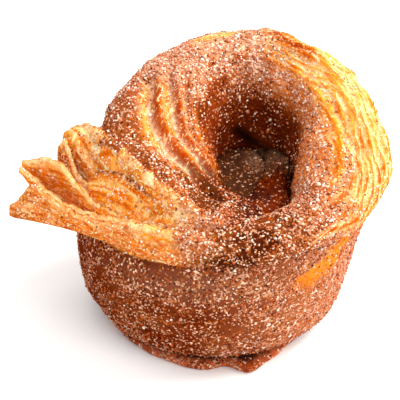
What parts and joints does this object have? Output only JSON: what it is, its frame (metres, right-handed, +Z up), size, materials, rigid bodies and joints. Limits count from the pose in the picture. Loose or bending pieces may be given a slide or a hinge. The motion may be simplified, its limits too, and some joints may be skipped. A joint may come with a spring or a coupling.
{
  "type": "morning bun",
  "caption": "Sugared morning bun: a flaky laminated strip coiled up out of a cup-shaped body, its loose end fanned out at one side.",
  "frame": {"origin": "middle of the flat underside", "axes": "+Z up, front (the low side of the rim) towards -Y, fanned end of the strip towards -X"},
  "size_m": [0.1162, 0.0935, 0.0754],
  "materials": {
    "crust": "browned laminated crust, dull, rolled in sugar"
  },
  "bodies": {
    "root": {"bun": "crust"}
  },
  "joints": []
}
